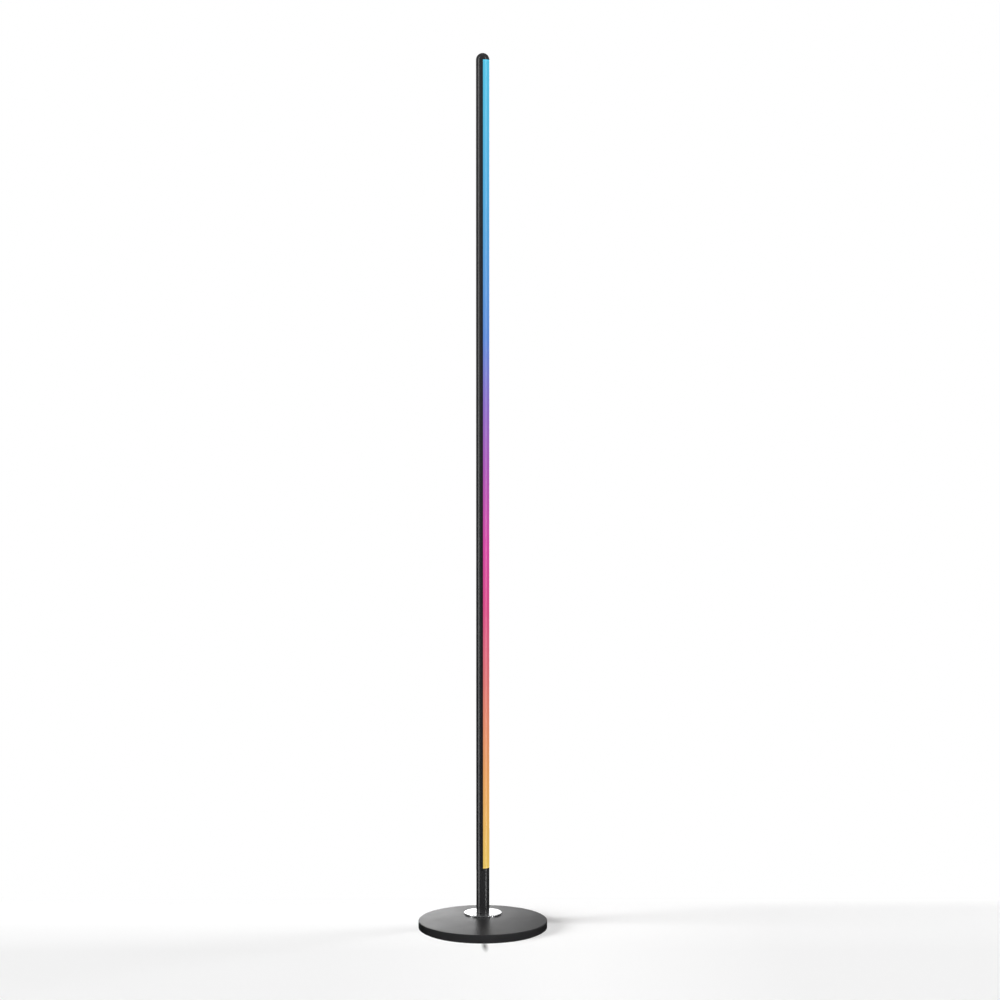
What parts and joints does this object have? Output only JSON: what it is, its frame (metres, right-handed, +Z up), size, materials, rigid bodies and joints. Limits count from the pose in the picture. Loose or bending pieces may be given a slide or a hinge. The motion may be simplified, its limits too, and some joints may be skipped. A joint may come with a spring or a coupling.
{
  "type": "corner floor lamp",
  "caption": "Slim corner floor lamp: round steel base, polished foot disc, and a turning round pole that is half aluminium channel and half lit colour-gradient cover, with a domed cap.",
  "frame": {"origin": "on the floor under the middle of the round base", "axes": "+Z up along the pole; the pole stands towards +Y, with its power inlet and button on the +Y side; the light faces +X"},
  "size_m": [0.2, 0.2, 1.3533],
  "materials": {
    "coated_plate": "satin black powder coat on steel",
    "pad_foam": "dense black foam",
    "polished_disc": "polished chrome plate",
    "nylon": "natural nylon",
    "zinc_steel": "zinc-plated steel",
    "black_steel": "black oxide on steel",
    "painted_tube": "satin black paint on steel",
    "black_casting": "black die casting",
    "black_anodised": "satin black anodised extrusion",
    "plain_aluminium": "plain extruded",
    "opal_cover": "opal silicone, lit from behind",
    "black_cap": "fine moulded black plastic",
    "black_moulding": "black moulded plastic",
    "board_laminate": "green solder mask",
    "chip_resin": "black resin",
    "contact_brass": "plated contact",
    "strip_white": "white solder mask",
    "diode_lens": "clear resin over phosphor",
    "lead_skin": "white wire insulation",
    "plunger_red": "red moulded plastic"
  },
  "bodies": {
    "base": {"base_plate": "coated_plate", "floor_pad": "pad_foam", "rosette": "polished_disc", "pivot_bush": "nylon", "slide_washer": "black_moulding"},
    "pole": {"pivot_stud": "zinc_steel", "spring_washer": "zinc_steel", "pivot_nut": "zinc_steel", "foot_bush": "zinc_steel", "foot_tube": "painted_tube", "controller_carrier": "black_moulding", "controller_board": "board_laminate", "board_chips": "chip_resin", "board_screws": "zinc_steel", "dc_inlet": "black_moulding", "inlet_pin": "contact_brass", "inlet_contact": "contact_brass", "switch_body": "black_moulding", "switch_dome": "zinc_steel", "led_lead": "lead_skin", "foot_joiner": "black_casting", "foot_screw": "black_steel", "channel_lower": "black_anodised", "channel_middle": "black_anodised", "channel_upper": "black_anodised", "channel_joiners": "plain_aluminium", "joiner_screws": "black_steel", "led_tape": "strip_white", "led_chips": "diode_lens", "diffuser": "opal_cover", "top_cap": "black_cap"},
    "button": {"mode_button": "black_cap", "switch_plunger": "plunger_red"}
  },
  "joints": [
    {"name": "pole_turn", "type": "hinge", "parent": "base", "child": "pole", "pos_m": [0, 0.042, 0.014], "axis": [0, 0, 1], "continuous": true},
    {"name": "button_press", "type": "slide", "parent": "pole", "child": "button", "axis": [0, -1, 0], "range_m": [0, 0.0006], "stiffness_N_per_m": 2500}
  ]
}
